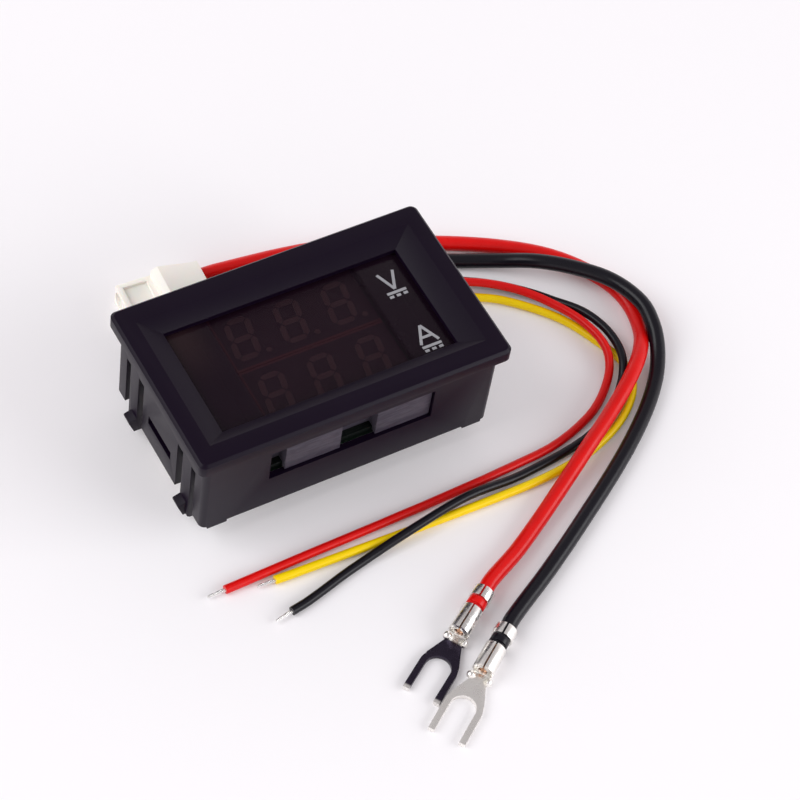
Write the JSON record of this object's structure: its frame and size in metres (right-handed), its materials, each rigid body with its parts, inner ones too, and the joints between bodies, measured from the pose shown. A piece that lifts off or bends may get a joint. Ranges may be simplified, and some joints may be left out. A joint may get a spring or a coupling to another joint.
{
  "type": "digital panel meter",
  "caption": "Snap-in panel meter with a framed window over two rows of digits, snap fingers at both ends, board connectors and loose plug-in leads.",
  "frame": {"origin": "centre of the meter at the ends of its two rear connectors, which it rests on", "axes": "+Z out of the face, +X toward the end of the window with the unit letters, +Y toward the upper edge of the face"},
  "size_m": [0.0812, 0.0861, 0.021],
  "materials": {
    "case": "fine satin moulded surface",
    "lens": "smoked red clear plastic, glossy",
    "marks": "white print",
    "carrier": "grey moulded plastic",
    "shell": "dark face",
    "segments": "unlit cast resin",
    "tinned": "bright tin",
    "board": "green solder resist",
    "nylon": "natural nylon",
    "shunt": "drawn resistance wire",
    "trimmer": "blue moulded case",
    "rotor": "pale rotor",
    "chip": "epoxy",
    "resistor": "dark film on ceramic",
    "capacitor": "fired ceramic",
    "red_wire": "soft vinyl insulation",
    "black_wire": "soft vinyl insulation",
    "yellow_wire": "soft vinyl insulation",
    "copper": "stranded copper",
    "fork": "tinned brass"
  },
  "bodies": {
    "meter": {"housing": "case", "window_lens": "lens", "unit_marks": "marks", "display_carrier": "carrier", "upper_display": "shell", "lower_display": "shell", "upper_segments": "segments", "lower_segments": "segments", "upper_display_pins": "tinned", "lower_display_pins": "tinned", "circuit_board": "board", "current_header": "nylon", "current_header_pins": "tinned", "supply_header": "nylon", "supply_header_pins": "tinned", "shunt_wire": "shunt", "volt_trimmer": "trimmer", "amp_trimmer": "trimmer", "controller_chip": "chip", "controller_leads": "tinned", "amplifier_chip": "chip", "amplifier_leads": "tinned", "regulator": "chip", "regulator_tabs": "tinned", "chip_resistors": "resistor", "chip_capacitors": "capacitor", "current_plug": "nylon", "current_contacts": "tinned", "supply_plug": "nylon", "supply_contacts": "tinned", "red_current_wire": "red_wire", "black_current_wire": "black_wire", "red_supply_wire": "red_wire", "black_supply_wire": "black_wire", "yellow_sense_wire": "yellow_wire", "red_wire_end": "red_wire", "black_wire_end": "black_wire", "red_conductor": "copper", "black_conductor": "copper", "red_fork": "fork", "black_fork": "fork", "red_tinned_end": "tinned", "black_tinned_end": "tinned", "yellow_tinned_end": "tinned"},
    "volt_rotor": {"volt_rotor": "rotor"},
    "amp_rotor": {"amp_rotor": "rotor"}
  },
  "joints": [
    {"name": "volt_trim", "type": "hinge", "parent": "meter", "child": "volt_rotor", "pos_m": [0.0092, 0.00845, 0.0077], "axis": [0, 0, 1], "range_deg": [-130, 130]},
    {"name": "amp_trim", "type": "hinge", "parent": "meter", "child": "amp_rotor", "pos_m": [0.0092, -0.00845, 0.0077], "axis": [0, 0, 1], "range_deg": [-130, 130]}
  ]
}
